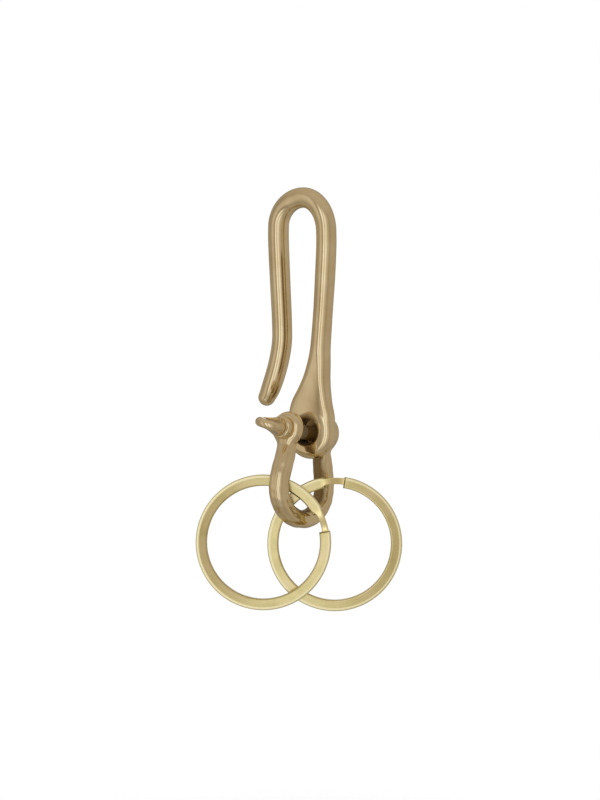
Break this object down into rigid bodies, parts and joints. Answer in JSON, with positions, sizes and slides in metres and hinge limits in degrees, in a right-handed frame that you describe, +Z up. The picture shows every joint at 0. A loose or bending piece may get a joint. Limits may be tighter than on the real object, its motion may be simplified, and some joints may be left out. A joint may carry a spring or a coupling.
{
  "type": "belt key clip",
  "caption": "J-shaped cast brass belt hook with a flat eye, a bow shackle closed by a screw pin, and a pair of overlapping flat-wire split rings.",
  "frame": {"origin": "under the top of the hook's bend, where the belt's edge sits, midway between the legs and in the hook's middle plane", "axes": "+Z up the hook, -X towards the open tip, and -Y towards the head of the screw pin"},
  "size_m": [0.0425, 0.0362, 0.1102],
  "materials": {
    "cast_brass": "polished cast brass, slightly toned",
    "ring_brass": "satin flat brass wire, paler"
  },
  "bodies": {
    "hook": {"hook": "cast_brass"},
    "shackle_bow": {"shackle_bow": "cast_brass"},
    "shackle_pin": {"shackle_pin": "cast_brass"},
    "split_ring_left": {"split_ring_left": "ring_brass"},
    "split_ring_right": {"split_ring_right": "ring_brass"}
  },
  "joints": [
    {"name": "shackle_swing", "type": "hinge", "parent": "hook", "child": "shackle_bow", "pos_m": [0.00176, -0.0009, -0.0586], "axis": [0, 0.9898, -0.1426], "range_deg": [-110, 90]},
    {"name": "pin_turn", "type": "hinge", "parent": "shackle_bow", "child": "shackle_pin", "pos_m": [0.00176, -0.0009, -0.0586], "axis": [0, -0.9898, 0.1426], "range_deg": [0, 1710]},
    {"name": "ring_left_swing", "type": "hinge", "parent": "shackle_bow", "child": "split_ring_left", "pos_m": [0.00176, -0.00537, -0.08087], "axis": [0.6018, -0.7986, 0], "range_deg": [-30, 65]},
    {"name": "ring_right_swing", "type": "hinge", "parent": "shackle_bow", "child": "split_ring_right", "pos_m": [0.00176, -0.00204, -0.08087], "axis": [0.6018, -0.7986, 0], "range_deg": [-65, 20]}
  ]
}
